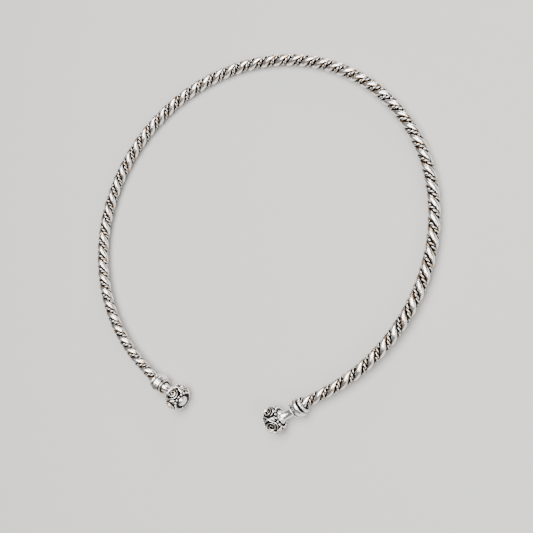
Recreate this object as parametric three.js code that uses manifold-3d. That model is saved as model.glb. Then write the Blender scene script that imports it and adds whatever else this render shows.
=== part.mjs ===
// A torc: a neck ring of twisted wires, open at the front, with a cast terminal on each end. It lies flat.
// Millimetres. X runs to the right terminal, Y to the back of the hoop, Z up.
import * as THREE from "three";
import { mergeVertices } from "three/addons/utils/BufferGeometryUtils.js";
import Module from "manifold-3d";

// Hoop: the rope's centre line is an oval, with a straight stretch before each collar
const hoopHalfWidth = 70;
const hoopHalfDepth = 65.6;
const ovalSweep = 145.2; // degrees of the oval on each side of the back's middle
const ropeStraight = 9.7; // from the oval to the collar's mouth
const ropeInsert = 1.6; // length of rope inside each collar

// Rope: two thick wires twisted left-handed, with a fine cord in each groove between them
const ropeDiameter = 4.55;
const layLength = 11.42; // rope in which a wire goes round once
const layStart = 167.6; // degrees from outward towards up, of the first wire at the back's middle
const taperLength = 51; // rope before each collar that grows thinner
const taperLoss = 0.143; // share of its thickness that the rope loses there
const taperGrowth = 1.5; // power with which the loss grows towards the collar
const cordDiameter = 1.1;
const strandGap = 0.1; // between the round shapes that the two faceted wires fill
const cordGap = 0.12; // between those and the cord's
const stepsPerLay = 6;
const wireSides = stepsPerLay; // so that a wire's edges run straight along it
const cordSides = 3;

// Collar: radii, and places along it from its mouth
const socketGap = 0.36; // between rope and socket wall
const socketFloorGap = 0.4; // between the rope's end and the socket's floor
const beadRadius = 3.15;
const beadEdge = 2.8; // radius of the mouth's outer edge
const beadWidth = 1;
const grooveRadius = 2.75;
const grooveWidth = 0.6;
const bandRadius = 3.65;
const bandShoulder = 3.35;
const bandWidth = 2; // straight stretch and shoulder
const bandSlope = 1.1; // from the shoulder to the flange
const flangeRadius = 2.75;
const flangeWidth = 0.25;

// Neck and knob: radii, and places along the knob's axis from the knob's middle
const neckFoot = 1.9;
const neckRadius = 1.5;
const neckLength = { left: 1.7, right: 2.4 }; // from the flange to the narrowest place, where the neck bends
const flareRadius = 2.4;
const flareMiddle = 1.83; // radius half way along the flare
const flareLength = 2.4;
const flareStep = 0.6; // from the flare's mouth to the knob
const knobRadius = 4.5; // of the floor from which the scrolls rise
const knobCrown = 3.4; // radius of the belt's rounding
const beltEdge = 40; // degrees of that rounding on each side of the belt's middle
const channelRise = 0.25; // from the belt's edge to the seat of the granules
const bossRadius = 2.05;
const bossHeight = 1.4;
const bossShoulder = 0.75; // share of its radius and of its height where the dome's side ends

// Each terminal was bent by hand. Degrees from the rope's end, towards the gap in the hoop
const collarTurn = { left: 10, right: -5.8 };
const knobTurn = { left: 9.6, right: 7 };

// Ornament of the knob: linked scrolls round the belt, and a ring of granules at each side of it
const scrollCount = 5;
const scrollWidth = 0.52;
const scrollRise = 0.4;
const scrollFoot = 0.3; // depth to which a scroll is rooted in the belt
const scrollTurn = { left: -16, right: 31 }; // degrees of the first coil, round the knob from its top
const coilEye = 0.85; // radius at the start of a coil
const coilReach = 2.0; // radius where the coil becomes the link
const coilTurns = 1.3;
const coilPoints = 7;
const linkLeave = 32; // degrees where the link leaves its coil
const wrapReach = 2.1; // radius of the link round the next coil
const wrapStart = -140;
const wrapEnd = -45;
const wrapPoints = 2;
const granuleRing = 3.5; // radius of the ring, which is a plain ridge here
const granuleWidth = 0.86;
const granuleRise = 0.4;

// Rest: the torc lies on its knobs and on the back of the rope
const restReach = 4.15; // from a knob's axis down to the small flat that it lies on
const latheSides = 11;
const beltSteps = 3;
const joinOverlap = 0.3; // length that collar and knob share where the neck bends
const weldDistance = 1e-4; // corners nearer than this become one
const seatStep = 0.01; // with which the cord's seat is searched outward

const collarLength = beadWidth + grooveWidth + bandWidth + bandSlope + flangeWidth;
const beltRise = knobCrown * Math.sin(THREE.MathUtils.degToRad(beltEdge)); // the belt's edge, from its middle
const beltInner = knobRadius - knobCrown + knobCrown * Math.cos(THREE.MathUtils.degToRad(beltEdge));
const seatRise = beltRise + channelRise;
const flareRise = seatRise + flareStep;
const bendToKnob = flareRise + flareLength;
const ropeEndRadius = (ropeDiameter / 2) * (1 - taperLoss);
const wireRadius = (ropeDiameter - strandGap) / 4;
const wireWinding = (ropeDiameter + strandGap) / 4; // radius of the helix that a thick wire follows

const wasm = await Module();
wasm.setup();

function solidFrom(geometry) {
  const bare = geometry.clone().deleteAttribute("normal").deleteAttribute("uv");
  const merged = mergeVertices(bare, weldDistance);
  return new wasm.Manifold(
    new wasm.Mesh({
      numProp: 3,
      vertProperties: new Float32Array(merged.attributes.position.array),
      triVerts: new Uint32Array(merged.index.array),
    }),
  );
}

function geometryFrom(solid) {
  const mesh = solid.getMesh();
  const geometry = new THREE.BufferGeometry();
  geometry.setAttribute("position", new THREE.BufferAttribute(mesh.vertProperties, 3));
  geometry.setIndex(new THREE.BufferAttribute(mesh.triVerts, 1));
  geometry.computeVertexNormals();
  return geometry;
}

// Closed bar along a curve that knows its own outward direction. sectionAt gives the bar's corners at each
// share of the curve, as [outward, sideways] pairs that run round the section. An edge runs from each corner
// to the one that lies edgeShift further round the next section.
function barAlong(curve, steps, edgeShift, sectionAt) {
  const sides = sectionAt(0).length;
  const positions = [];
  for (let ring = 0; ring <= steps; ring++) {
    const t = ring / steps;
    const tangent = curve.getTangent(t);
    const outward = curve.outwardAt(t);
    outward.addScaledVector(tangent, -outward.dot(tangent)).normalize();
    const sideways = new THREE.Vector3().crossVectors(tangent, outward);
    for (const [out, aside] of sectionAt(t)) {
      const corner = curve.getPoint(t).addScaledVector(outward, out).addScaledVector(sideways, aside);
      positions.push(...corner);
    }
  }
  const faces = [];
  for (let ring = 0; ring < steps; ring++) {
    for (let side = 0; side < sides; side++) {
      const here = ring * sides + side;
      const beside = ring * sides + ((side + 1) % sides);
      const next = (ring + 1) * sides + ((side + edgeShift) % sides);
      const nextBeside = (ring + 1) * sides + ((side + edgeShift + 1) % sides);
      faces.push(here, beside, nextBeside, here, nextBeside, next);
    }
  }
  const last = steps * sides;
  for (let side = 1; side < sides - 1; side++) {
    faces.push(0, side + 1, side);
    faces.push(last, last + side, last + side + 1);
  }
  const geometry = new THREE.BufferGeometry();
  geometry.setAttribute("position", new THREE.Float32BufferAttribute(positions, 3));
  geometry.setIndex(faces);
  geometry.computeVertexNormals();
  return geometry;
}

// The oval part of the hoop, from its left end round the back to its right end.
class OvalArc extends THREE.Curve {
  getPoint(t, target = new THREE.Vector3()) {
    const turn = THREE.MathUtils.degToRad((2 * t - 1) * ovalSweep);
    return target.set(hoopHalfWidth * Math.sin(turn), hoopHalfDepth * Math.cos(turn), 0);
  }
}

function hoopLine(straight) {
  const oval = new OvalArc();
  const leftEnd = oval.getPoint(0).addScaledVector(oval.getTangent(0), -straight);
  const rightEnd = oval.getPoint(1).addScaledVector(oval.getTangent(1), straight);
  const line = new THREE.CurvePath();
  line.add(new THREE.LineCurve3(leftEnd, oval.getPoint(0)));
  line.add(oval);
  line.add(new THREE.LineCurve3(oval.getPoint(1), rightEnd));
  return line;
}

const ropeLine = hoopLine(ropeStraight + ropeInsert);
const ropeLength = ropeLine.getLength();

// Share of its full thickness that the rope has, at a share t of its length.
function thinning(t) {
  const fromMouth = Math.min(t, 1 - t) * ropeLength - ropeInsert;
  const nearness = THREE.MathUtils.clamp(1 - fromMouth / taperLength, 0, 1);
  return 1 - taperLoss * nearness ** taperGrowth;
}

// A strand that winds round the rope's centre line.
class Strand extends THREE.Curve {
  constructor(windingRadius, startDegrees) {
    super();
    this.windingRadius = windingRadius;
    this.start = THREE.MathUtils.degToRad(startDegrees);
  }
  outwardAt(t) {
    const heading = ropeLine.getTangent(t);
    const turn = this.start - (2 * Math.PI * (t - 0.5) * ropeLength) / layLength;
    return new THREE.Vector3(-heading.y * Math.cos(turn), heading.x * Math.cos(turn), Math.sin(turn));
  }
  getPoint(t, target = new THREE.Vector3()) {
    const winding = this.windingRadius * thinning(t);
    return target.copy(ropeLine.getPoint(t)).addScaledVector(this.outwardAt(t), winding);
  }
}

// Least distance between a thick wire's centre line and a strand that winds a quarter turn from it.
function distanceToWire(windingRadius) {
  let least = Infinity;
  const samples = 100;
  for (let k = 0; k <= samples; k++) {
    const shift = (k / samples) * (layLength / 4);
    const turn = Math.PI / 2 - (2 * Math.PI * shift) / layLength;
    const across = wireWinding ** 2 + windingRadius ** 2 - 2 * wireWinding * windingRadius * Math.cos(turn);
    least = Math.min(least, Math.sqrt(across + shift ** 2));
  }
  return least;
}

// Radius at which a cord lies in the groove, just clear of both thick wires.
function cordSeat() {
  const clear = wireRadius + cordDiameter / 2 + cordGap;
  let radius = wireWinding;
  while (distanceToWire(radius) < clear) radius += seatStep;
  return radius;
}

// Corners of a regular section, the first one outward.
function regularSection(radius, sides) {
  const corners = [];
  for (let k = 0; k < sides; k++) {
    const turn = (2 * Math.PI * k) / sides;
    corners.push([radius * Math.cos(turn), radius * Math.sin(turn)]);
  }
  return corners;
}

function strandMesh(name, material, windingRadius, startDegrees, radius, sides) {
  const strand = new Strand(windingRadius, startDegrees);
  const steps = Math.round((stepsPerLay * ropeLength) / layLength);
  const edgeShift = Math.floor(sides / stepsPerLay);
  const bar = barAlong(strand, steps, edgeShift, (t) => regularSection(radius * thinning(t), sides));
  const mesh = new THREE.Mesh(bar, material);
  mesh.name = name;
  return mesh;
}

// Turned solid with its axis along +X, from [radius, place] pairs that start and end on the axis.
function turned(outline) {
  const points = outline.map(([radius, place]) => new THREE.Vector2(radius, place));
  return solidFrom(new THREE.LatheGeometry(points, latheSides).rotateZ(-Math.PI / 2));
}

// Collar and the foot of the neck, from the collar's mouth at the origin.
function makeCollar(side) {
  const socketRadius = ropeEndRadius + socketGap;
  const socketFloor = ropeInsert + socketFloorGap;
  const grooveEnd = beadWidth + grooveWidth;
  const shoulder = grooveEnd + bandWidth;
  const neckEnd = collarLength + neckLength[side];
  return turned([
    [0, socketFloor],
    [socketRadius, socketFloor],
    [socketRadius, 0],
    [beadEdge, 0],
    [beadRadius, beadWidth / 2],
    [grooveRadius, beadWidth],
    [grooveRadius, grooveEnd],
    [bandRadius, grooveEnd],
    [bandRadius, grooveEnd + bandWidth / 2],
    [bandShoulder, shoulder],
    [flangeRadius, shoulder + bandSlope],
    [flangeRadius, collarLength],
    [neckFoot, collarLength],
    [neckRadius, neckEnd],
    [0, neckEnd + joinOverlap],
  ]);
}

// Knob with its half of the neck, from the knob's middle at the origin.
function makeKnobBody() {
  const outline = [
    [0, -bendToKnob - joinOverlap],
    [neckRadius, -bendToKnob],
    [flareMiddle, -flareRise - flareLength / 2],
    [flareRadius, -flareRise],
    [flareRadius, -seatRise],
    [granuleRing - granuleWidth / 2, -seatRise],
    [granuleRing, -seatRise - granuleRise],
    [beltInner, -beltRise],
  ];
  for (let k = 1; k <= beltSteps; k++) {
    const turn = THREE.MathUtils.degToRad(beltEdge * ((2 * k) / beltSteps - 1));
    outline.push([knobRadius - knobCrown + knobCrown * Math.cos(turn), knobCrown * Math.sin(turn)]);
  }
  outline.push(
    [granuleRing, seatRise + granuleRise],
    [granuleRing - granuleWidth / 2, seatRise],
    [bossRadius, seatRise],
    [bossRadius * bossShoulder, seatRise + bossHeight * bossShoulder],
    [0, seatRise + bossHeight],
  );
  return turned(outline);
}

// Point at a height above the belt. across runs to the tip, around runs from the top of the knob, the way that
// the fingers of a right hand curl when its thumb points to the tip.
function onBelt(around, across, height) {
  const rounding = across / knobCrown;
  const radius = knobRadius - knobCrown + (knobCrown + height) * Math.cos(rounding);
  const turn = around / knobRadius;
  const place = (knobCrown + height) * Math.sin(rounding);
  return new THREE.Vector3(place, -radius * Math.sin(turn), radius * Math.cos(turn));
}

// One scroll on a flat belt: a coil from the inside out, then a link that crosses the belt and wraps the next
// coil.
function scrollOutline(pitch) {
  const points = [];
  const sweep = 360 * coilTurns;
  for (let k = 0; k <= coilPoints; k++) {
    const share = k / coilPoints;
    const turn = THREE.MathUtils.degToRad(linkLeave + sweep * (1 - share));
    const reach = THREE.MathUtils.lerp(coilEye, coilReach, share);
    points.push(new THREE.Vector2(reach * Math.cos(turn), reach * Math.sin(turn)));
  }
  for (let k = 0; k <= wrapPoints; k++) {
    const turn = THREE.MathUtils.degToRad(THREE.MathUtils.lerp(wrapStart, wrapEnd, k / wrapPoints));
    points.push(new THREE.Vector2(pitch + wrapReach * Math.cos(turn), wrapReach * Math.sin(turn)));
  }
  return new THREE.SplineCurve(points);
}

class Scroll extends THREE.Curve {
  constructor(outline, offset, direction) {
    super();
    this.outline = outline;
    this.offset = offset;
    this.direction = direction;
  }
  atHeight(t, height) {
    const flat = this.outline.getPoint(t);
    return onBelt(this.offset + this.direction * flat.x, flat.y, height);
  }
  outwardAt(t) {
    return this.atHeight(t, 1).sub(this.atHeight(t, 0));
  }
  getPoint(t, target = new THREE.Vector3()) {
    return target.copy(this.atHeight(t, 0));
  }
}

function addScrolls(body, side) {
  const direction = side === "right" ? -1 : 1;
  const pitch = (2 * Math.PI * knobRadius) / scrollCount;
  const start = THREE.MathUtils.degToRad(scrollTurn[side]) * knobRadius;
  const outline = scrollOutline(pitch);
  const steps = coilPoints + wrapPoints + 1;
  const ridge = [
    [scrollRise, 0],
    [-scrollFoot, scrollWidth / 2],
    [-scrollFoot, -scrollWidth / 2],
  ];
  for (let k = 0; k < scrollCount; k++) {
    const scroll = new Scroll(outline, start + k * pitch, direction);
    body = body.add(solidFrom(barAlong(scroll, steps, 0, () => ridge)));
  }
  return body;
}

// A terminal in the hoop's own frame. The knob turns on from the collar where the neck is narrowest.
function makeTerminal(side) {
  const right = side === "right";
  const end = right ? 1 : 0;
  const mouthLine = hoopLine(ropeStraight);
  const mouth = mouthLine.getPoint(end);
  const heading = mouthLine.getTangent(end).multiplyScalar(right ? 1 : -1);
  const inward = right ? -1 : 1; // sense of a turn towards the gap
  const collarBend = inward * THREE.MathUtils.degToRad(collarTurn[side]);
  const collarBearing = Math.atan2(heading.y, heading.x) + collarBend;
  const knobBend = inward * THREE.MathUtils.degToRad(knobTurn[side] - collarTurn[side]);

  const knob = geometryFrom(addScrolls(makeKnobBody(), side))
    .translate(bendToKnob, 0, 0)
    .rotateZ(knobBend)
    .translate(collarLength + neckLength[side], 0, 0);
  const whole = geometryFrom(makeCollar(side).add(solidFrom(knob)));
  return whole.rotateZ(collarBearing).translate(mouth.x, mouth.y, mouth.z);
}

// Middle of a knob in the hoop's own frame, as far as the front of the hoop is concerned.
function knobPlaceY(geometry) {
  geometry.computeBoundingBox();
  return geometry.boundingBox.min.y + knobRadius;
}

const wireMetal = new THREE.MeshStandardMaterial({ color: 0xd9d8d4, roughness: 0.28, metalness: 1 });
const cordMetal = new THREE.MeshStandardMaterial({ color: 0xb4b2ac, roughness: 0.38, metalness: 1 });
const castMetal = new THREE.MeshStandardMaterial({ color: 0xcfcdc8, roughness: 0.32, metalness: 1 });

const torc = new THREE.Group();
for (const k of [0, 1]) {
  const start = layStart + 180 * k;
  torc.add(
    strandMesh("thick_wire_" + (k + 1), wireMetal, wireWinding, start, wireRadius, wireSides),
    strandMesh("fine_cord_" + (k + 1), cordMetal, cordSeat(), start + 90, cordDiameter / 2, cordSides),
  );
}

// The knobs are thicker than the rope, so the hoop tips back until its back touches the ground too.
const terminals = { left: makeTerminal("left"), right: makeTerminal("right") };
const knobY = (knobPlaceY(terminals.left) + knobPlaceY(terminals.right)) / 2;
const tip = Math.asin((restReach - ropeDiameter / 2) / (hoopHalfDepth - knobY));
torc.rotation.x = -tip;
torc.position.z = ropeDiameter / 2 + hoopHalfDepth * Math.sin(tip);
torc.updateMatrixWorld(true);

const groundSize = 4 * hoopHalfWidth;
const ground = new THREE.BoxGeometry(groundSize, groundSize, groundSize).translate(0, 0, -groundSize / 2);
const groundBelow = solidFrom(ground.applyMatrix4(torc.matrixWorld.clone().invert()));
for (const side of ["left", "right"]) {
  const cut = solidFrom(terminals[side]).subtract(groundBelow);
  const mesh = new THREE.Mesh(geometryFrom(cut), castMetal);
  mesh.name = side + "_terminal";
  torc.add(mesh);
}

// The origin is on the ground under the middle of the outline.
torc.updateMatrixWorld(true);
const outline = new THREE.Box3().setFromObject(torc, true);
torc.position.x -= (outline.min.x + outline.max.x) / 2;
torc.position.y -= (outline.min.y + outline.max.y) / 2;
torc.position.z -= outline.min.z;

export default torc;
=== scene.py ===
import bpy
import math
from mathutils import Matrix, Vector
from mathutils.geometry import interpolate_bezier


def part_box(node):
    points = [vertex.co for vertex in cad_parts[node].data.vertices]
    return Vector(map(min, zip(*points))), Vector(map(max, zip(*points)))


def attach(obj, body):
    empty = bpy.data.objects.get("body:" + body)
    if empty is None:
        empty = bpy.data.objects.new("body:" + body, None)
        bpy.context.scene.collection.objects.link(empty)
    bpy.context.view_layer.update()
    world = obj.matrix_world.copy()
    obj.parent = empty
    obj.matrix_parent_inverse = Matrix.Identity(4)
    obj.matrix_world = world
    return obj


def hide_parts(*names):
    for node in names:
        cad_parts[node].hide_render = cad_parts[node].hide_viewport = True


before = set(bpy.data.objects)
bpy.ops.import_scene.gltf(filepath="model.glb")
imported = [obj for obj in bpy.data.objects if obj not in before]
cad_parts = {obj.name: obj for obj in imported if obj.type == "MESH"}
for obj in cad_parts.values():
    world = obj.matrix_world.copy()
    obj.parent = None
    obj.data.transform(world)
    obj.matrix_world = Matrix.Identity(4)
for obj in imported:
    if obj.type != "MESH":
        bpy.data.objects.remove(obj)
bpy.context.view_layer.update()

# Pieces are modelled in millimetres in the hoop's own plane, with the rope's centre line in it.
# hoopToWorld then lays them down where the CAD has them.

hoop = {
    "halfWidth": 70.0,          # of the oval that the rope's centre line follows
    "halfDepth": 65.6,
    "ovalSweep": 145.2,         # degrees each side of the back's middle
    "straight": 9.7,            # from the oval to a collar's mouth
    "insert": 1.6,              # rope inside a collar
    "restReach": 4.15,          # from a knob's axis down to the ground
    "knobY": -65.0,             # about where the knobs lie, for the angle of the hoop
    "samples": 4000,            # points of the oval by which its length is measured
    "pointGap": 1.0,            # along the path
}

rope = {
    "diameter": 4.55,
    "lay": 11.42,               # one turn of a thick wire
    "layStart": 167.6,          # degrees from outward towards up, at the back's middle
    "taperLength": 51.0,
    "taperLoss": 0.143,
    "taperGrowth": 1.5,
    "wireSides": 20,
    "stepsPerLay": 30,
    "overrun": 4.0,             # cut off square at each end
    "polishedFrom": 2.12,       # distance from the rope's axis where a wire is bright
    "blackBelow": 1.6,
    "smoothAngle": 50.0,        # degrees, faces that meet at less are shaded as one
}

fineCord = {
    "seat": 1.64,               # distance of its middle from the rope's axis
    "plyRadius": 0.34,
    "plyOffset": 0.29,
    "lay": 3.1,
    "plySides": 8,
    "stepsPerLay": 10,
    "pathSteps": 40,            # points in a lay of the rope
    "polishedFrom": 1.95,
    "blackBelow": 1.7,
    # Likewise from the cord's own axis, for the valleys between its plies
    "valleyPolishedFrom": 0.47,
    "valleyBlackBelow": 0.35,
    "smoothAngle": 60.0,
}


# Selection and small helpers

def only(piece):
    bpy.ops.object.select_all(action="DESELECT")
    piece.select_set(True)
    bpy.context.view_layer.objects.active = piece


def applyModifiers(piece):
    only(piece)
    for modifier in list(piece.modifiers):
        bpy.ops.object.modifier_apply(modifier=modifier.name)


def applyPlace(piece):
    only(piece)
    bpy.ops.object.transform_apply(location=True, rotation=True, scale=True)


def makePath(name, points, radii=None):
    data = bpy.data.curves.new(name, "CURVE")
    data.dimensions = "3D"
    data.twist_mode = "MINIMUM"
    data.use_deform_bounds = False
    data.use_radius = True
    spline = data.splines.new("POLY")
    spline.points.add(len(points) - 1)
    for k, point in enumerate(points):
        spline.points[k].co = (*point, 1.0)
        spline.points[k].radius = radii[k] if radii else 1.0
    path = bpy.data.objects.new(name, data)
    bpy.context.collection.objects.link(path)
    return path


# A piece modelled along X follows the path
def bendAlong(piece, path):
    bend = piece.modifiers.new("bend", "CURVE")
    bend.object = path
    bend.deform_axis = "POS_X"
    applyModifiers(piece)


def smoothStep(value, low, high):
    share = min(max((value - low) / (high - low), 0.0), 1.0)
    return share * share * (3 - 2 * share)


# A mark is 0 on polished metal and 1 in a blackened hollow
def markHollow(piece, markAt):
    setMarks(piece, [markAt(vertex.co) for vertex in piece.data.vertices])


def setMarks(piece, marks):
    hollow = piece.data.attributes.new("hollow", "FLOAT", "POINT")
    hollow.data.foreach_set("value", marks)


# Mark by the distance from the X axis
def axisMark(spot, blackBelow, polishedFrom):
    return 1 - smoothStep(math.hypot(spot.y, spot.z), blackBelow, polishedFrom)


def joined(pieces, name):
    only(pieces[0])
    for piece in pieces:
        piece.select_set(True)
    bpy.ops.object.join()
    whole = bpy.context.object
    whole.name = name
    return whole


# The hoop's centre line

def ovalPoint(turn):
    return Vector((hoop["halfWidth"] * math.sin(turn), hoop["halfDepth"] * math.cos(turn), 0))


def ovalHeading(turn):
    heading = Vector((hoop["halfWidth"] * math.cos(turn), -hoop["halfDepth"] * math.sin(turn), 0))
    return heading.normalized()


# Points at even steps from the left end round the back to the right end
def hoopPoints(straight):
    sweep = math.radians(hoop["ovalSweep"])
    samples = hoop["samples"]
    fine = [ovalPoint(-sweep) - ovalHeading(-sweep) * straight]
    fine += [ovalPoint(-sweep + 2 * sweep * k / samples) for k in range(samples + 1)]
    fine.append(ovalPoint(sweep) + ovalHeading(sweep) * straight)
    reach = [0.0]
    for a, b in zip(fine, fine[1:]):
        reach.append(reach[-1] + (b - a).length)
    count = round(reach[-1] / hoop["pointGap"])
    points = []
    k = 0
    for step in range(count + 1):
        wanted = reach[-1] * step / count
        while k < len(reach) - 2 and reach[k + 1] < wanted:
            k += 1
        share = (wanted - reach[k]) / (reach[k + 1] - reach[k])
        points.append(fine[k].lerp(fine[k + 1], share))
    return points, reach[-1]


ropePoints, ropeLength = hoopPoints(hoop["straight"] + hoop["insert"])


# Share of its full thickness that the rope has, at a distance along it
def thinning(along):
    fromMouth = min(along, ropeLength - along) - hoop["insert"]
    nearness = min(max(1 - fromMouth / rope["taperLength"], 0.0), 1.0)
    return 1 - rope["taperLoss"] * nearness ** rope["taperGrowth"]


hoopPath = makePath(
    "hoopPath", ropePoints,
    [thinning(ropeLength * k / (len(ropePoints) - 1)) for k in range(len(ropePoints))])

hoopTip = math.asin((hoop["restReach"] - rope["diameter"] / 2) / (hoop["halfDepth"] - hoop["knobY"]))
backY = max(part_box("thick_wire_1")[1][1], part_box("thick_wire_2")[1][1]) * 1000
hoopToWorld = (
    Matrix.Scale(0.001, 4)
    @ Matrix.Translation((0, backY - rope["diameter"] / 2 - hoop["halfDepth"] * math.cos(hoopTip),
                          rope["diameter"] / 2 + hoop["halfDepth"] * math.sin(hoopTip)))
    @ Matrix.Rotation(-hoopTip, 4, "X"))
print("hoop path", round(ropeLength, 2), "mm")


# Camera

camera = {
    "place": Vector((181.52, -58.76, 280.29)),      # in the hoop's own frame
    "view": Vector((-0.5199, 0.1374, -0.8431)),
    "up": Vector((-0.0581, 0.979, 0.1953)),
    "lens": 62.52,
    "sensorWidth": 36.0,
    "clipStart": 0.01,          # metres
}


def makeCamera():
    turn = hoopToWorld.to_3x3().normalized()
    view = (turn @ camera["view"]).normalized()
    right = view.cross(turn @ camera["up"]).normalized()
    up = right.cross(view)
    place = Matrix((right, up, -view)).transposed().to_4x4()
    place.translation = hoopToWorld @ camera["place"]
    data = bpy.data.cameras.new("camera")
    data.lens = camera["lens"]
    data.sensor_width = camera["sensorWidth"]
    data.clip_start = camera["clipStart"]
    holder = bpy.data.objects.new("camera", data)
    holder.matrix_world = place
    bpy.context.collection.objects.link(holder)
    bpy.context.scene.camera = holder


makeCamera()


# Materials

def newSocket(tree, name, direction, kind, value=None):
    socket = tree.interface.new_socket(name=name, in_out=direction, socket_type=kind)
    if value is not None:
        socket.default_value = value


# Polished metal; a warm brown in patches and beside a hollow, partly real tarnish and partly a painted warm
# reflection; and black oxide in the hollows
def makeTarnishAndReflectionGroup():
    tree = bpy.data.node_groups.new("tarnishAndWarmReflection", "ShaderNodeTree")
    newSocket(tree, "Hollow", "INPUT", "NodeSocketFloat", 0.0)
    newSocket(tree, "Polished Color", "INPUT", "NodeSocketColor", (0.9, 0.88, 0.85, 1))
    newSocket(tree, "Tarnish And Reflection Color", "INPUT", "NodeSocketColor", (0.45, 0.33, 0.2, 1))
    newSocket(tree, "Oxide Color", "INPUT", "NodeSocketColor", (0.012, 0.011, 0.01, 1))
    newSocket(tree, "Patch Scale", "INPUT", "NodeSocketFloat", 300.0)
    newSocket(tree, "Color", "OUTPUT", "NodeSocketColor")
    newSocket(tree, "Roughness", "OUTPUT", "NodeSocketFloat")
    newSocket(tree, "Metallic", "OUTPUT", "NodeSocketFloat")
    nodes, links = tree.nodes, tree.links
    given = nodes.new("NodeGroupInput")
    result = nodes.new("NodeGroupOutput")
    place = nodes.new("ShaderNodeTexCoord")

    # Noise moves the edge of a hollow by up to a quarter of the mark either way
    ragged = nodes.new("ShaderNodeTexNoise")
    ragged.inputs["Scale"].default_value = 1800
    ragged.inputs["Detail"].default_value = 3
    links.new(place.outputs["Object"], ragged.inputs["Vector"])
    shift = nodes.new("ShaderNodeMath")
    shift.operation = "MULTIPLY_ADD"
    shift.inputs[1].default_value = 0.5
    shift.inputs[2].default_value = -0.25
    links.new(ragged.outputs["Fac"], shift.inputs[0])
    edge = nodes.new("ShaderNodeMath")
    edge.operation = "ADD"
    links.new(given.outputs["Hollow"], edge.inputs[0])
    links.new(shift.outputs[0], edge.inputs[1])
    oxide = nodes.new("ShaderNodeMapRange")
    oxide.interpolation_type = "SMOOTHSTEP"
    oxide.inputs["From Min"].default_value = 0.42
    oxide.inputs["From Max"].default_value = 0.58
    links.new(edge.outputs[0], oxide.inputs["Value"])

    # Tarnish and painted warm reflection in patches, and unevenly on the slopes down to the hollows
    patches = nodes.new("ShaderNodeTexNoise")
    patches.inputs["Detail"].default_value = 4
    links.new(place.outputs["Object"], patches.inputs["Vector"])
    links.new(given.outputs["Patch Scale"], patches.inputs["Scale"])
    patchy = nodes.new("ShaderNodeMapRange")
    patchy.inputs["From Min"].default_value = 0.55
    patchy.inputs["From Max"].default_value = 0.75
    patchy.inputs["To Max"].default_value = 0.3
    links.new(patches.outputs["Fac"], patchy.inputs["Value"])
    # The tint on the slopes beside the hollows is mostly a painted reflection of warm surroundings, partly
    # tarnish
    slope = nodes.new("ShaderNodeMapRange")
    slope.inputs["From Min"].default_value = 0.03
    slope.inputs["From Max"].default_value = 0.2
    links.new(edge.outputs[0], slope.inputs["Value"])
    uneven = nodes.new("ShaderNodeMapRange")
    uneven.inputs["From Min"].default_value = 0.42
    uneven.inputs["From Max"].default_value = 0.58
    uneven.inputs["To Min"].default_value = 0.2
    links.new(patches.outputs["Fac"], uneven.inputs["Value"])
    stainAndReflectionBesideHollow = nodes.new("ShaderNodeMath")
    stainAndReflectionBesideHollow.operation = "MULTIPLY"
    links.new(slope.outputs["Result"], stainAndReflectionBesideHollow.inputs[0])
    links.new(uneven.outputs["Result"], stainAndReflectionBesideHollow.inputs[1])
    tinted = nodes.new("ShaderNodeMath")
    tinted.operation = "MAXIMUM"
    links.new(patchy.outputs["Result"], tinted.inputs[0])
    links.new(stainAndReflectionBesideHollow.outputs[0], tinted.inputs[1])

    # The warm colour mixed in here is partly tarnish and partly a painted warm reflection
    warm = nodes.new("ShaderNodeMix")
    warm.data_type = "RGBA"
    links.new(tinted.outputs[0], warm.inputs["Factor"])
    links.new(given.outputs["Polished Color"], warm.inputs["A"])
    links.new(given.outputs["Tarnish And Reflection Color"], warm.inputs["B"])
    black = nodes.new("ShaderNodeMix")
    black.data_type = "RGBA"
    links.new(oxide.outputs["Result"], black.inputs["Factor"])
    links.new(warm.outputs["Result"], black.inputs["A"])
    links.new(given.outputs["Oxide Color"], black.inputs["B"])
    links.new(black.outputs["Result"], result.inputs["Color"])

    rough = nodes.new("ShaderNodeMapRange")
    rough.inputs["To Min"].default_value = 0.16
    rough.inputs["To Max"].default_value = 0.3
    links.new(patches.outputs["Fac"], rough.inputs["Value"])
    roughMix = nodes.new("ShaderNodeMix")
    roughMix.inputs["B"].default_value = 0.42
    links.new(oxide.outputs["Result"], roughMix.inputs["Factor"])
    links.new(rough.outputs["Result"], roughMix.inputs["A"])
    links.new(roughMix.outputs["Result"], result.inputs["Roughness"])

    metal = nodes.new("ShaderNodeMapRange")
    metal.inputs["To Min"].default_value = 1.0
    metal.inputs["To Max"].default_value = 0.9
    links.new(oxide.outputs["Result"], metal.inputs["Value"])
    links.new(metal.outputs["Result"], result.inputs["Metallic"])
    return tree


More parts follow.
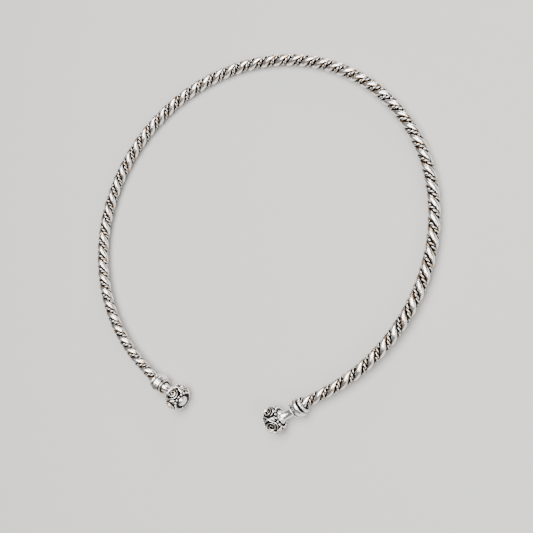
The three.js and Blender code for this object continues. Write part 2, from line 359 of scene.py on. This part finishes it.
# Uneven hand-worked surface with fine scratches, as a height
def makeHammerGroup():
    tree = bpy.data.node_groups.new("hammer", "ShaderNodeTree")
    newSocket(tree, "Dent Scale", "INPUT", "NodeSocketFloat", 700.0)
    newSocket(tree, "Dent Height", "INPUT", "NodeSocketFloat", 1.0)
    newSocket(tree, "Scratch Height", "INPUT", "NodeSocketFloat", 0.1)
    newSocket(tree, "Height", "OUTPUT", "NodeSocketFloat")
    nodes, links = tree.nodes, tree.links
    given = nodes.new("NodeGroupInput")
    result = nodes.new("NodeGroupOutput")
    place = nodes.new("ShaderNodeTexCoord")
    dents = nodes.new("ShaderNodeTexNoise")
    dents.inputs["Detail"].default_value = 2
    links.new(place.outputs["Object"], dents.inputs["Vector"])
    links.new(given.outputs["Dent Scale"], dents.inputs["Scale"])
    dentHeight = nodes.new("ShaderNodeMath")
    dentHeight.operation = "MULTIPLY"
    links.new(dents.outputs["Fac"], dentHeight.inputs[0])
    links.new(given.outputs["Dent Height"], dentHeight.inputs[1])
    scratches = nodes.new("ShaderNodeTexNoise")
    scratches.inputs["Scale"].default_value = 5200
    scratches.inputs["Detail"].default_value = 4
    links.new(place.outputs["Object"], scratches.inputs["Vector"])
    scratchHeight = nodes.new("ShaderNodeMath")
    scratchHeight.operation = "MULTIPLY"
    links.new(scratches.outputs["Fac"], scratchHeight.inputs[0])
    links.new(given.outputs["Scratch Height"], scratchHeight.inputs[1])
    both = nodes.new("ShaderNodeMath")
    both.operation = "ADD"
    links.new(dentHeight.outputs[0], both.inputs[0])
    links.new(scratchHeight.outputs[0], both.inputs[1])
    links.new(both.outputs[0], result.inputs["Height"])
    return tree


tarnishAndReflectionGroup = makeTarnishAndReflectionGroup()
hammerGroup = makeHammerGroup()


def makeMetal(name, look):
    material = bpy.data.materials.new(name)
    material.use_nodes = True
    nodes, links = material.node_tree.nodes, material.node_tree.links
    shader = nodes["Principled BSDF"]
    marks = nodes.new("ShaderNodeAttribute")
    marks.attribute_name = "hollow"
    tarnishAndWarmReflection = nodes.new("ShaderNodeGroup")
    tarnishAndWarmReflection.node_tree = tarnishAndReflectionGroup
    tarnishAndWarmReflection.inputs["Polished Color"].default_value = look["polished"]
    tarnishAndWarmReflection.inputs["Tarnish And Reflection Color"].default_value = look["tarnishAndWarmReflection"]
    tarnishAndWarmReflection.inputs["Oxide Color"].default_value = look["oxide"]
    tarnishAndWarmReflection.inputs["Patch Scale"].default_value = look["patchScale"]
    links.new(marks.outputs["Fac"], tarnishAndWarmReflection.inputs["Hollow"])
    links.new(tarnishAndWarmReflection.outputs["Color"], shader.inputs["Base Color"])
    links.new(tarnishAndWarmReflection.outputs["Roughness"], shader.inputs["Roughness"])
    links.new(tarnishAndWarmReflection.outputs["Metallic"], shader.inputs["Metallic"])
    hammer = nodes.new("ShaderNodeGroup")
    hammer.node_tree = hammerGroup
    hammer.inputs["Dent Scale"].default_value = look["dentScale"]
    hammer.inputs["Dent Height"].default_value = look["dentHeight"]
    hammer.inputs["Scratch Height"].default_value = look["scratchHeight"]
    bump = nodes.new("ShaderNodeBump")
    bump.inputs["Strength"].default_value = 1.0
    bump.inputs["Distance"].default_value = 0.0001
    links.new(hammer.outputs["Height"], bump.inputs["Height"])
    links.new(bump.outputs["Normal"], shader.inputs["Normal"])
    return material


# Scales are in cells to a metre, heights in tenths of a millimetre
wireLook = {
    "polished": (0.96, 0.95, 0.93, 1),
    # This orange is mostly a painted reflection of warm surroundings, beside the black grooves and in patches
    "tarnishAndWarmReflection": (0.66, 0.33, 0.11, 1),
    "oxide": (0.003, 0.003, 0.003, 1),
    "patchScale": 600.0,
    "dentScale": 900.0,
    "dentHeight": 1.6,
    "scratchHeight": 0.12,
}
cordLook = {
    "polished": (0.86, 0.84, 0.81, 1),
    "tarnishAndWarmReflection": (0.44, 0.38, 0.32, 1),
    "oxide": (0.003, 0.003, 0.003, 1),
    "patchScale": 420.0,
    "dentScale": 1600.0,
    "dentHeight": 0.4,
    "scratchHeight": 0.1,
}
castLook = {
    "polished": (0.95, 0.94, 0.92, 1),
    # This brown, in patches, is partly tarnish and partly a painted warm reflection
    "tarnishAndWarmReflection": (0.58, 0.38, 0.2, 1),
    "oxide": (0.003, 0.003, 0.003, 1),
    "patchScale": 330.0,
    "dentScale": 760.0,
    "dentHeight": 0.9,
    "scratchHeight": 0.15,
}
wireMetal = makeMetal("wireSilver", wireLook)
cordMetal = makeMetal("cordSilver", cordLook)
castMetal = makeMetal("castSilver", castLook)
print("materials")


# Lays a finished piece down in the world and puts it in its CAD node's place
def settle(piece, node, material):
    piece.data.transform(hoopToWorld)
    piece.data.materials.clear()
    piece.data.materials.append(material)
    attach(piece, "root")
    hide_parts(node)


# Strands: a circle that leans with its helix, screwed along X turn by turn

def makeStrand(radius, sides, offset, lay, stepsPerLay, length, side=1):
    lean = math.atan(2 * math.pi * offset / lay)
    bpy.ops.object.select_all(action="DESELECT")
    bpy.ops.mesh.primitive_circle_add(
        vertices=sides, radius=radius,
        location=(0, side * offset, 0), rotation=(0, math.pi / 2 + side * lean, 0))
    strand = bpy.context.object
    applyPlace(strand)
    twist = strand.modifiers.new("twist", "SCREW")
    twist.axis = "X"
    twist.angle = -2 * math.pi
    twist.screw_offset = lay
    twist.iterations = math.ceil(length / lay)
    twist.steps = twist.render_steps = stepsPerLay
    applyModifiers(strand)
    return strand


# Angle of a strand round the rope, from outward towards up
def ropeTurn(along, start):
    return math.radians(start) - 2 * math.pi * (along - ropeLength / 2) / rope["lay"]


def cutSquare(piece, length):
    only(piece)
    bpy.ops.object.mode_set(mode="EDIT")
    for place, side in ((0.0, -1), (length, 1)):
        bpy.ops.mesh.select_all(action="SELECT")
        bpy.ops.mesh.bisect(plane_co=(place, 0, 0), plane_no=(side, 0, 0), clear_outer=True, use_fill=True)
    bpy.ops.mesh.select_all(action="SELECT")
    bpy.ops.mesh.normals_make_consistent(inside=False)
    bpy.ops.object.mode_set(mode="OBJECT")


def shadeSmooth(angle):
    bpy.ops.object.shade_smooth_by_angle(angle=math.radians(angle))


# Thick wires, half a turn apart

def makeThickWire(number):
    radius = rope["diameter"] / 4               # two wires fill the rope's diameter
    wire = makeStrand(
        radius, rope["wireSides"], radius, rope["lay"], rope["stepsPerLay"],
        ropeLength + 2 * rope["overrun"])
    wire.name = "thickWire%d" % number
    wire.location.x = -rope["overrun"]
    wire.rotation_euler.x = ropeTurn(-rope["overrun"], rope["layStart"] + 180 * (number - 1))
    applyPlace(wire)
    cutSquare(wire, ropeLength)
    markHollow(wire, lambda spot: axisMark(spot, rope["blackBelow"], rope["polishedFrom"]))
    bendAlong(wire, hoopPath)
    shadeSmooth(rope["smoothAngle"])
    settle(wire, "thick_wire_%d" % number, wireMetal)


for number in (1, 2):
    makeThickWire(number)
print("thick wires")


# Fine cords, straight at first, then wound along the grooves and bent with the hoop

def makeFineCord(number):
    start = rope["layStart"] + 180 * (number - 1) + 90
    windingLength = math.hypot(rope["lay"], 2 * math.pi * fineCord["seat"])
    cordLength = ropeLength * windingLength / rope["lay"]
    plies = [makeStrand(
        fineCord["plyRadius"], fineCord["plySides"], fineCord["plyOffset"], fineCord["lay"],
        fineCord["stepsPerLay"], cordLength, side) for side in (1, -1)]
    cord = joined(plies, "fineCord%d" % number)
    valley = [axisMark(vertex.co, fineCord["valleyBlackBelow"], fineCord["valleyPolishedFrom"])
              for vertex in cord.data.vertices]

    points = []
    count = math.ceil(ropeLength / rope["lay"] * fineCord["pathSteps"])
    for k in range(count + 1):
        along = ropeLength * k / count
        turn = ropeTurn(along, start)
        points.append((along, fineCord["seat"] * math.cos(turn), fineCord["seat"] * math.sin(turn)))
    groovePath = makePath("groovePath", points)
    bendAlong(cord, groovePath)
    bpy.data.objects.remove(groovePath)
    sunk = [axisMark(vertex.co, fineCord["blackBelow"], fineCord["polishedFrom"])
            for vertex in cord.data.vertices]
    setMarks(cord, [max(pair) for pair in zip(valley, sunk)])
    cutSquare(cord, ropeLength)
    bendAlong(cord, hoopPath)
    shadeSmooth(fineCord["smoothAngle"])
    settle(cord, "fine_cord_%d" % number, cordMetal)


for number in (1, 2):
    makeFineCord(number)
print("fine cords")


# Terminals: collar, neck and knob are turned about X, from the collar's mouth

collar = {
    "socketRadius": 2.3,
    "socketDepth": 2.0,
    "faceRadius": 2.6,
    "beadStart": 0.02,
    "beadRadius": 3.15,
    "beadWidth": 1.0,
    "beadSteps": 8,
    "grooveWidth": 0.55,
    "bandStart": 0.14,          # from the groove's end
    "bandRadius": 3.7,
    "bandDrop": 0.12,           # of its edge below that radius
    "bandEnd": 3.85,            # place where the band ends, and its radius
    "bandEndRadius": 3.0,
    "fallPower": 1.9,           # how late the band falls to that radius
    "bulge": 0.16,
    "bulgeSpeed": 1.6,          # above 1 the bulge ends before the band does
    "bandSteps": 9,
    "rimStart": 0.42,           # from the band's end
    "rimRadius": 2.95,
    "rimHeight": 0.2,
    "rimBack": 0.2,             # from the rim's back edge to the collar's end
    "rimSteps": 6,
    "length": 4.95,
    "turn": {"left": 10.0, "right": -5.8},      # degrees from the rope's end, towards the gap
}

knob = {
    "neckFoot": 1.8,
    "neckFootStep": 0.15,       # from the foot's edge to the neck
    "neckRadius": 1.38,
    "neckLength": {"left": 1.7, "right": 2.4},  # to the narrowest place, where the neck bends
    "neckShares": (0.25, 0.5, 0.75, 1.0),       # of that length, where it has a ring
    "neckPower": 1.6,
    "bendSteps": 5,
    "bendGap": 0.35,            # between the places where it bends
    "flareRadius": 2.4,
    "flareRise": 3.035,         # from the knob's middle to the flare's mouth
    "flareLength": 2.4,
    "flareShares": (0.2, 0.4, 0.55, 0.7, 0.82, 0.92, 1.0),
    "flarePower": 2.2,
    "radius": 4.5,              # floor of the ornament
    "crown": 3.4,               # radius of that floor's rounding in profile
    "edge": 40.0,               # degrees of the crown's rounding, each side
    "crownSteps": 14,
    "seatRise": 2.435,
    "recessInner": 2.12,
    "recessOuter": 2.95,
    "bossRadius": 2.05,
    "bossFoot": 2.6,
    "bossHeight": 1.2,
    "bossSteps": 8,
    "tipRadius": 0.02,          # of the last ring, which is merged to a point
    "turn": {"left": 9.6, "right": 7.0},
    "sides": 72,
    "smoothAngle": 40.0,
}

# Small steps of the outline: how far each is past the named edge, how far out, and its hollow mark
edgeSteps = {
    "socketMouth": ((0.12, 0, 1), (0, 0.12, 0.5)),
    "face": ((0, -0.1, 0.2),),
    "grooveStart": ((0.08, -0.05, 1),),
    "grooveEnd": ((-0.06, -0.05, 1), (0, 0.05, 0.7), (0.02, 0.28, 0.15)),
    "bandEdge": ((0.04, -0.35, 0),),
    "bandEnd": ((0.05, -0.28, 1),),
    "rimFoot": ((0.38, -0.28, 1),),
    "rimBack": ((-0.18, -0.5, 0.3),),
    "neckRecess": ((-0.28, 0.35, 0.9), (-0.2, 0.08, 1), (0.15, -0.12, 0.05)),
    "flareMouth": ((0.08, 0.02, 0.1), (0.16, -0.16, 0.8)),
    "neckSeat": ((-0.06, 0, 1), (0, 0.1, 1)),
    "tipSeat": ((0, 0.1, 1),),
    "bossFoot": ((-0.1, 0.03, 0.9),),
}

scroll = {
    "count": 5,
    "halfWidth": 0.22,
    "halfHeight": 0.34,
    "lift": 0.06,               # of the line's middle above the floor
    "eye": {"left": 0.26, "right": 0.42},       # radius where the coil starts
    "growth": {"left": 1.0, "right": 1.25},     # above 1 the inner turn is the tighter
    "reach": 2.0,               # radius where it becomes the link
    "turns": {"left": 2.1, "right": 1.85},
    "coilSteps": 60,
    "leave": 32.0,              # degrees
    "handle": 1.4,              # length of the link's handles
    "linkPoints": 20,
    "wrapReach": 2.1,
    "wrapStart": -140.0,
    "wrapEnd": -35.0,
    "wrapSteps": 16,
    "innerWidth": {"left": 1.0, "right": 0.7},  # share of the full width at the inner end
    "innerTaper": 60,           # points over which a whole width is gained
    "outerWidth": 0.55,
    "outerTaper": 14,
    "start": {"left": -16.0, "right": 31.0},    # degrees of the first coil from the top
    "direction": {"left": 1, "right": -1},
    "sides": 10,
    "cuts": 90,
    "polishedFrom": 0.32,       # height above the floor
    "blackBelow": 0.14,
}

granule = {
    "count": 17,
    "radius": 0.43,
    "subdivisions": 3,
    "ring": 3.5,
    "rise": 2.62,
    "seatLean": 40.0,           # degrees between the knob's axis and a line to the granule's foot
    "polishedFrom": -0.02,      # from its middle, away from the foot
    "blackBelow": -0.22,
    "turn": {"left": 0.35, "right": 0.85},      # of the first granule, in steps of the ring
}

filler = {
    "size": 1.05,               # from the middle of the wedge to the ends of its base
    "stretch": 1.5,
    "depth": 0.6,
    "inset": 0.3,
    "dome": 0.12,
    "bevel": 0.1,
    "bevelSegments": 2,
    "lean": 12.0,               # degrees
    "place": (0.08, 1.5),       # from the middle between two coils
}


# Rings of a round moulding between two places
def halfRound(first, last, foot, crest, steps):
    middle, half = (first + last) / 2, (last - first) / 2
    turns = [math.pi * k / steps for k in range(steps + 1)]
    return [(middle - half * math.cos(t), foot + (crest - foot) * math.sin(t), 0) for t in turns]


def stepsAt(edge, place, radius):
    return [(place + along, radius + out, mark) for along, out, mark in edgeSteps[edge]]


def bandRings(grooveEnd):
    start, end = collar["bandStart"], collar["bandEnd"]
    fall = collar["bandRadius"] - collar["bandEndRadius"]
    rings = []
    for step in range(collar["bandSteps"] + 1):
        share = step / collar["bandSteps"]
        place = grooveEnd + start + (end - grooveEnd - start) * share
        bulge = collar["bulge"] * math.sin(math.pi * min(share * collar["bulgeSpeed"], 1))
        radius = collar["bandRadius"] - collar["bandDrop"] - fall * share ** collar["fallPower"] + bulge
        rings.append((place, radius, 0))
    return rings


def collarRings():
    face, bandEnd, rim = collar["faceRadius"], collar["bandEnd"], collar["rimRadius"]
    grooveEnd = collar["beadWidth"] + collar["grooveWidth"]
    rings = [(collar["socketDepth"], collar["socketRadius"], 1)]
    rings += stepsAt("socketMouth", 0, collar["socketRadius"])
    rings += stepsAt("face", 0, face)
    rings += halfRound(
        collar["beadStart"], collar["beadWidth"], face, collar["beadRadius"], collar["beadSteps"])
    rings += stepsAt("grooveStart", collar["beadWidth"], face)
    rings += stepsAt("grooveEnd", grooveEnd, face)
    rings += stepsAt("bandEdge", grooveEnd, collar["bandRadius"])
    rings += bandRings(grooveEnd)
    rings += stepsAt("bandEnd", bandEnd, collar["bandEndRadius"])
    rings += stepsAt("rimFoot", bandEnd, rim)
    rings += halfRound(
        bandEnd + collar["rimStart"], collar["length"] - collar["rimBack"],
        rim - collar["rimHeight"], rim, collar["rimSteps"])
    rings += stepsAt("rimBack", collar["length"], rim)
    rings += stepsAt("neckRecess", collar["length"], knob["neckFoot"])
    return rings


def neckRings(bendPlace, neckLength):
    narrow, foot = knob["neckRadius"], knob["neckFoot"] - knob["neckFootStep"]
    rings = []
    for share in knob["neckShares"]:
        radius = narrow + (foot - narrow) * (1 - share) ** knob["neckPower"]
        rings.append((collar["length"] + neckLength * share, radius, 0))
    for share in knob["flareShares"]:
        radius = narrow + (knob["flareRadius"] - narrow) * share ** knob["flarePower"]
        rings.append((bendPlace + knob["flareLength"] * share, radius, 0))
    return rings


def knobRings(middle):
    neckSeat, tipSeat = middle - knob["seatRise"], middle + knob["seatRise"]
    rings = stepsAt("flareMouth", middle - knob["flareRise"], knob["flareRadius"])
    rings += stepsAt("neckSeat", neckSeat, knob["recessInner"])
    rings.append((neckSeat, knob["recessOuter"], 1))
    for step in range(knob["crownSteps"] + 1):
        turn = math.radians(knob["edge"]) * (2 * step / knob["crownSteps"] - 1)
        radius = knob["radius"] - knob["crown"] * (1 - math.cos(turn))
        rings.append((middle + knob["crown"] * math.sin(turn), radius, 1))
    rings.append((tipSeat, knob["recessOuter"], 1))
    rings += stepsAt("tipSeat", tipSeat, knob["recessInner"])
    bossFoot = middle + knob["bossFoot"]
    rings += stepsAt("bossFoot", bossFoot, knob["bossRadius"])
    for step in range(knob["bossSteps"]):
        turn = math.pi / 2 * step / knob["bossSteps"]
        rings.append((bossFoot + knob["bossHeight"] * math.sin(turn), knob["bossRadius"] * math.cos(turn), 0))
    rings.append((bossFoot + knob["bossHeight"], knob["tipRadius"], 0))
    return rings


# Place, radius and hollow mark of each ring, from the socket's floor to the tip
def terminalOutline(side):
    neckLength = knob["neckLength"][side]
    bendPlace = collar["length"] + neckLength
    middle = bendPlace + knob["flareLength"] + knob["flareRise"]
    return collarRings() + neckRings(bendPlace, neckLength) + knobRings(middle), bendPlace, middle


def makeTurnedBody(rings):
    place, radius, _ = rings[0]
    bpy.ops.object.select_all(action="DESELECT")
    bpy.ops.mesh.primitive_circle_add(
        vertices=knob["sides"], radius=radius, fill_type="NGON",
        location=(place, 0, 0), rotation=(0, math.pi / 2, 0))
    body = bpy.context.object
    applyPlace(body)
    bpy.ops.object.mode_set(mode="EDIT")
    bpy.ops.mesh.select_all(action="DESELECT")
    bpy.ops.mesh.select_mode(type="EDGE")
    bpy.ops.mesh.select_all(action="SELECT")
    for (lastPlace, lastRadius, _), (place, radius, _) in zip(rings, rings[1:]):
        bpy.ops.mesh.extrude_edges_move(TRANSFORM_OT_translate={"value": (place - lastPlace, 0, 0)})
        grow = radius / lastRadius
        bpy.ops.transform.resize(value=(1, grow, grow), center_override=(place, 0, 0))
    bpy.ops.mesh.merge(type="CENTER")
    bpy.ops.mesh.select_all(action="SELECT")
    bpy.ops.mesh.normals_make_consistent(inside=False)
    bpy.ops.object.mode_set(mode="OBJECT")
    return body


def nearestMark(rings, spot):
    radius = math.hypot(spot.y, spot.z)
    return min(rings, key=lambda ring: (ring[0] - spot.x) ** 2 + (ring[1] - radius) ** 2)[2]


# Bends a flat piece round the knob: x runs round it, y to the tip, z out
def onBelt(spot):
    height = knob["crown"] + spot.z
    rounding = spot.y / knob["crown"]
    radius = knob["radius"] - knob["crown"] + height * math.cos(rounding)
    turn = spot.x / knob["radius"]
    return Vector((height * math.sin(rounding), -radius * math.sin(turn), radius * math.cos(turn)))


def heightMark(spot):
    return 1 - smoothStep(spot.z, scroll["blackBelow"], scroll["polishedFrom"])


linkTurn = 2 * math.pi / scroll["count"]
linkPitch = knob["radius"] * linkTurn


# Point of the flat scroll, on a circle round the middle of a coil
def coilPoint(middle, reach, turn):
    return Vector((middle + reach * math.cos(turn), reach * math.sin(turn), 0))


# The flat scroll: a coil from the inside out, and the link that wraps the next coil
def scrollLine(side):
    eye, turns, growth = (scroll[name][side] for name in ("eye", "turns", "growth"))
    leave, wrapStart, wrapEnd = (math.radians(scroll[name]) for name in ("leave", "wrapStart", "wrapEnd"))
    points = []
    for k in range(scroll["coilSteps"] + 1):
        share = k / scroll["coilSteps"]
        turn = math.radians(scroll["leave"] + 360 * turns * (1 - share))
        points.append(coilPoint(0, eye + (scroll["reach"] - eye) * share ** growth, turn))
    away = Vector((math.sin(leave), -math.cos(leave), 0)) * scroll["handle"]
    along = Vector((-math.sin(wrapStart), math.cos(wrapStart), 0)) * scroll["handle"]
    landing = coilPoint(linkPitch, scroll["wrapReach"], wrapStart)
    link = interpolate_bezier(
        points[-1], points[-1] + away, landing - along, landing, scroll["linkPoints"])
    points += link[1:]
    for k in range(1, scroll["wrapSteps"] + 1):
        turn = wrapStart + (wrapEnd - wrapStart) * k / scroll["wrapSteps"]
        points.append(coilPoint(linkPitch, scroll["wrapReach"], turn))

    inner, outer = scroll["innerWidth"][side], scroll["outerWidth"]
    last = len(points) - 1
    widths = [min(1, outer + (last - k) / scroll["outerTaper"], inner + k / scroll["innerTaper"])
              for k in range(last + 1)]
    flip = scroll["direction"][side]
    return [Vector((point.x * flip, point.y, 0)) for point in points], widths


def selectNoMesh():
    bpy.ops.object.mode_set(mode="EDIT")
    bpy.ops.mesh.select_all(action="DESELECT")
    bpy.ops.object.mode_set(mode="OBJECT")


def makeScroll(side):
    points, widths = scrollLine(side)
    length = sum((b - a).length for a, b in zip(points, points[1:]))
    path = makePath("scrollPath", points, widths)
    path.data.dimensions = "2D"
    bpy.ops.object.select_all(action="DESELECT")
    bpy.ops.mesh.primitive_cylinder_add(
        vertices=scroll["sides"], radius=scroll["halfWidth"], depth=length,
        location=(length / 2, 0, 0), rotation=(0, math.pi / 2, 0))
    line = bpy.context.object
    line.scale.x = scroll["halfHeight"] / scroll["halfWidth"]
    applyPlace(line)
    selectNoMesh()
    for edge in line.data.edges:
        a, b = (line.data.vertices[i].co for i in edge.vertices)
        edge.select = abs(a.x - b.x) > length / 2
    bpy.ops.object.mode_set(mode="EDIT")
    bpy.ops.mesh.subdivide(number_cuts=scroll["cuts"])
    bpy.ops.object.mode_set(mode="OBJECT")
    bendAlong(line, path)
    bpy.data.objects.remove(path)
    line.data.transform(Matrix.Translation((0, 0, scroll["lift"])))
    return line


# A wedge that points towards -Y
def makeFiller():
    bpy.ops.object.select_all(action="DESELECT")
    bpy.ops.mesh.primitive_cylinder_add(
        vertices=3, radius=filler["size"], depth=filler["depth"],
        location=(0, 0, 0), rotation=(0, 0, math.pi))
    wedge = bpy.context.object
    wedge.scale.y = filler["stretch"]
    applyPlace(wedge)
    selectNoMesh()
    for face in wedge.data.polygons:
        face.select = face.normal.z > 0.9       # the top
    bpy.ops.object.mode_set(mode="EDIT")
    bpy.ops.mesh.inset(thickness=filler["inset"])
    bpy.ops.transform.translate(value=(0, 0, filler["dome"]))
    bpy.ops.object.mode_set(mode="OBJECT")
    rounding = wedge.modifiers.new("rounding", "BEVEL")
    rounding.width = filler["bevel"]
    rounding.segments = filler["bevelSegments"]
    applyModifiers(wedge)
    return wedge


def copyOf(piece, place):
    twin = piece.copy()
    twin.data = piece.data.copy()
    twin.data.transform(place)
    bpy.context.collection.objects.link(twin)
    return twin


# One scroll and its two wedges, bent round the knob
def makeLink(side):
    flip = scroll["direction"][side]
    along, across = filler["place"]
    flat = [makeScroll(side)]
    wedge = makeFiller()
    for way in (1, -1):         # the wedge beside the tip's granules, then the one beside the neck's
        place = Matrix.Translation((flip * (linkPitch / 2 - way * along), way * across, 0))
        turn = flip * math.radians(filler["lean"]) + (0 if way == 1 else math.pi)
        flat.append(copyOf(wedge, place @ Matrix.Rotation(turn, 4, "Z")))
    bpy.data.objects.remove(wedge)
    link = joined(flat, "scrollLink")
    markHollow(link, heightMark)
    for vertex in link.data.vertices:
        vertex.co = onBelt(vertex.co)
    return link


def footMark(spot):
    foot = math.radians(granule["seatLean"])
    height = spot.x * math.sin(foot) + spot.y * math.cos(foot)
    return 1 - smoothStep(height, granule["blackBelow"], granule["polishedFrom"])


def makeGranule():
    bpy.ops.object.select_all(action="DESELECT")
    bpy.ops.mesh.primitive_ico_sphere_add(
        subdivisions=granule["subdivisions"], radius=granule["radius"], location=(0, 0, 0))
    ball = bpy.context.object
    markHollow(ball, footMark)
    return ball


def makeOrnament(side, middle):
    parts = []
    link = makeLink(side)
    start = math.radians(scroll["start"][side])
    for k in range(scroll["count"]):
        turn = Matrix.Rotation(start + k * linkTurn, 4, "X")
        parts.append(copyOf(link, Matrix.Translation((middle, 0, 0)) @ turn))
    bpy.data.objects.remove(link)

    ball = makeGranule()
    outward = Matrix.Translation((0, granule["ring"], 0))
    for rise in (-1, 1):
        ringMiddle = Matrix.Translation((middle + rise * granule["rise"], 0, 0))
        facing = Matrix.Rotation(math.pi * (rise < 0), 4, "Y")
        for k in range(granule["count"]):
            turn = 2 * math.pi * (k + granule["turn"][side]) / granule["count"]
            parts.append(copyOf(ball, ringMiddle @ Matrix.Rotation(turn, 4, "X") @ outward @ facing))
    bpy.data.objects.remove(ball)
    return parts


# Turns the knob's end in small steps, so that the neck bends over a short length
def bendNeck(piece, bendPlace, angle):
    steps = knob["bendSteps"]
    for k in range(steps):
        place = bendPlace + (k - (steps - 1) / 2) * knob["bendGap"]
        pivot = (Matrix.Translation((place, 0, 0)) @ Matrix.Rotation(angle / steps, 4, "Z")
                 @ Matrix.Translation((-place, 0, 0)))
        for vertex in piece.data.vertices:
            if vertex.co.x > place:
                vertex.co = pivot @ vertex.co


def makeTerminal(side):
    rings, bendPlace, middle = terminalOutline(side)
    body = makeTurnedBody(rings)
    markHollow(body, lambda spot: nearestMark(rings, spot))
    piece = joined([body] + makeOrnament(side, middle), side + "TerminalCast")
    inward = -1 if side == "right" else 1
    bendNeck(piece, bendPlace, inward * math.radians(knob["turn"][side] - collar["turn"][side]))
    sweep = math.radians(hoop["ovalSweep"]) * -inward
    heading = ovalHeading(sweep) * -inward
    mouth = ovalPoint(sweep) + heading * hoop["straight"]
    bearing = math.atan2(heading.y, heading.x) + inward * math.radians(collar["turn"][side])
    piece.data.transform(Matrix.Translation(mouth) @ Matrix.Rotation(bearing, 4, "Z"))
    only(piece)
    shadeSmooth(knob["smoothAngle"])
    settle(piece, side + "_terminal", castMetal)
    # What would reach under the ground is pressed up to it, where the solids are cut off
    for vertex in piece.data.vertices:
        vertex.co.z = max(vertex.co.z, 0.0)


for side in ("left", "right"):
    makeTerminal(side)
    print(side, "terminal")

bpy.data.objects.remove(hoopPath)


# Floor and light

stage = {
    "floorSize": 12.0,          # metres
    "floorDrop": 0.00002,       # keeps the floor clear of the faces that rest on it
    "floorColor": (0.53, 0.525, 0.51, 1),
    "worldColor": (0.8, 0.81, 0.83, 1),
    "worldStrength": 0.25,
}

# Sizes in metres, powers in watts
lights = {
    "key": {"place": (0.05, 0.05, 0.8), "size": 0.95, "power": 19.0, "color": (1.0, 0.99, 0.97)},
    "fill": {"place": (0.7, -0.3, 0.5), "size": 0.45, "power": 4.0, "color": (0.97, 0.98, 1.0)},
    "rim": {"place": (0.1, 0.8, 0.25), "size": 0.3, "power": 3.0, "color": (1.0, 0.93, 0.84)},
}


def makeFloor():
    bpy.ops.object.select_all(action="DESELECT")
    bpy.ops.mesh.primitive_plane_add(size=stage["floorSize"], location=(0, 0, -stage["floorDrop"]))
    floor = bpy.context.object
    floor.name = "floor"
    applyPlace(floor)
    material = bpy.data.materials.new("floorPaper")
    material.use_nodes = True
    shader = material.node_tree.nodes["Principled BSDF"]
    shader.inputs["Base Color"].default_value = stage["floorColor"]
    shader.inputs["Roughness"].default_value = 0.8
    floor.data.materials.append(material)


def makeLights():
    aim = Vector((0, 0, 0))
    for name, light in lights.items():
        data = bpy.data.lights.new(name, "AREA")
        data.shape = "DISK"
        data.size = light["size"]
        data.energy = light["power"]
        data.color = light["color"]
        lamp = bpy.data.objects.new(name, data)
        lamp.location = light["place"]
        lamp.rotation_euler = (aim - Vector(light["place"])).to_track_quat("-Z", "Y").to_euler()
        bpy.context.collection.objects.link(lamp)
    world = bpy.data.worlds.new("studio")
    world.use_nodes = True
    background = world.node_tree.nodes["Background"]
    background.inputs["Color"].default_value = stage["worldColor"]
    background.inputs["Strength"].default_value = stage["worldStrength"]
    bpy.context.scene.world = world


makeFloor()
makeLights()
print("floor and lights")
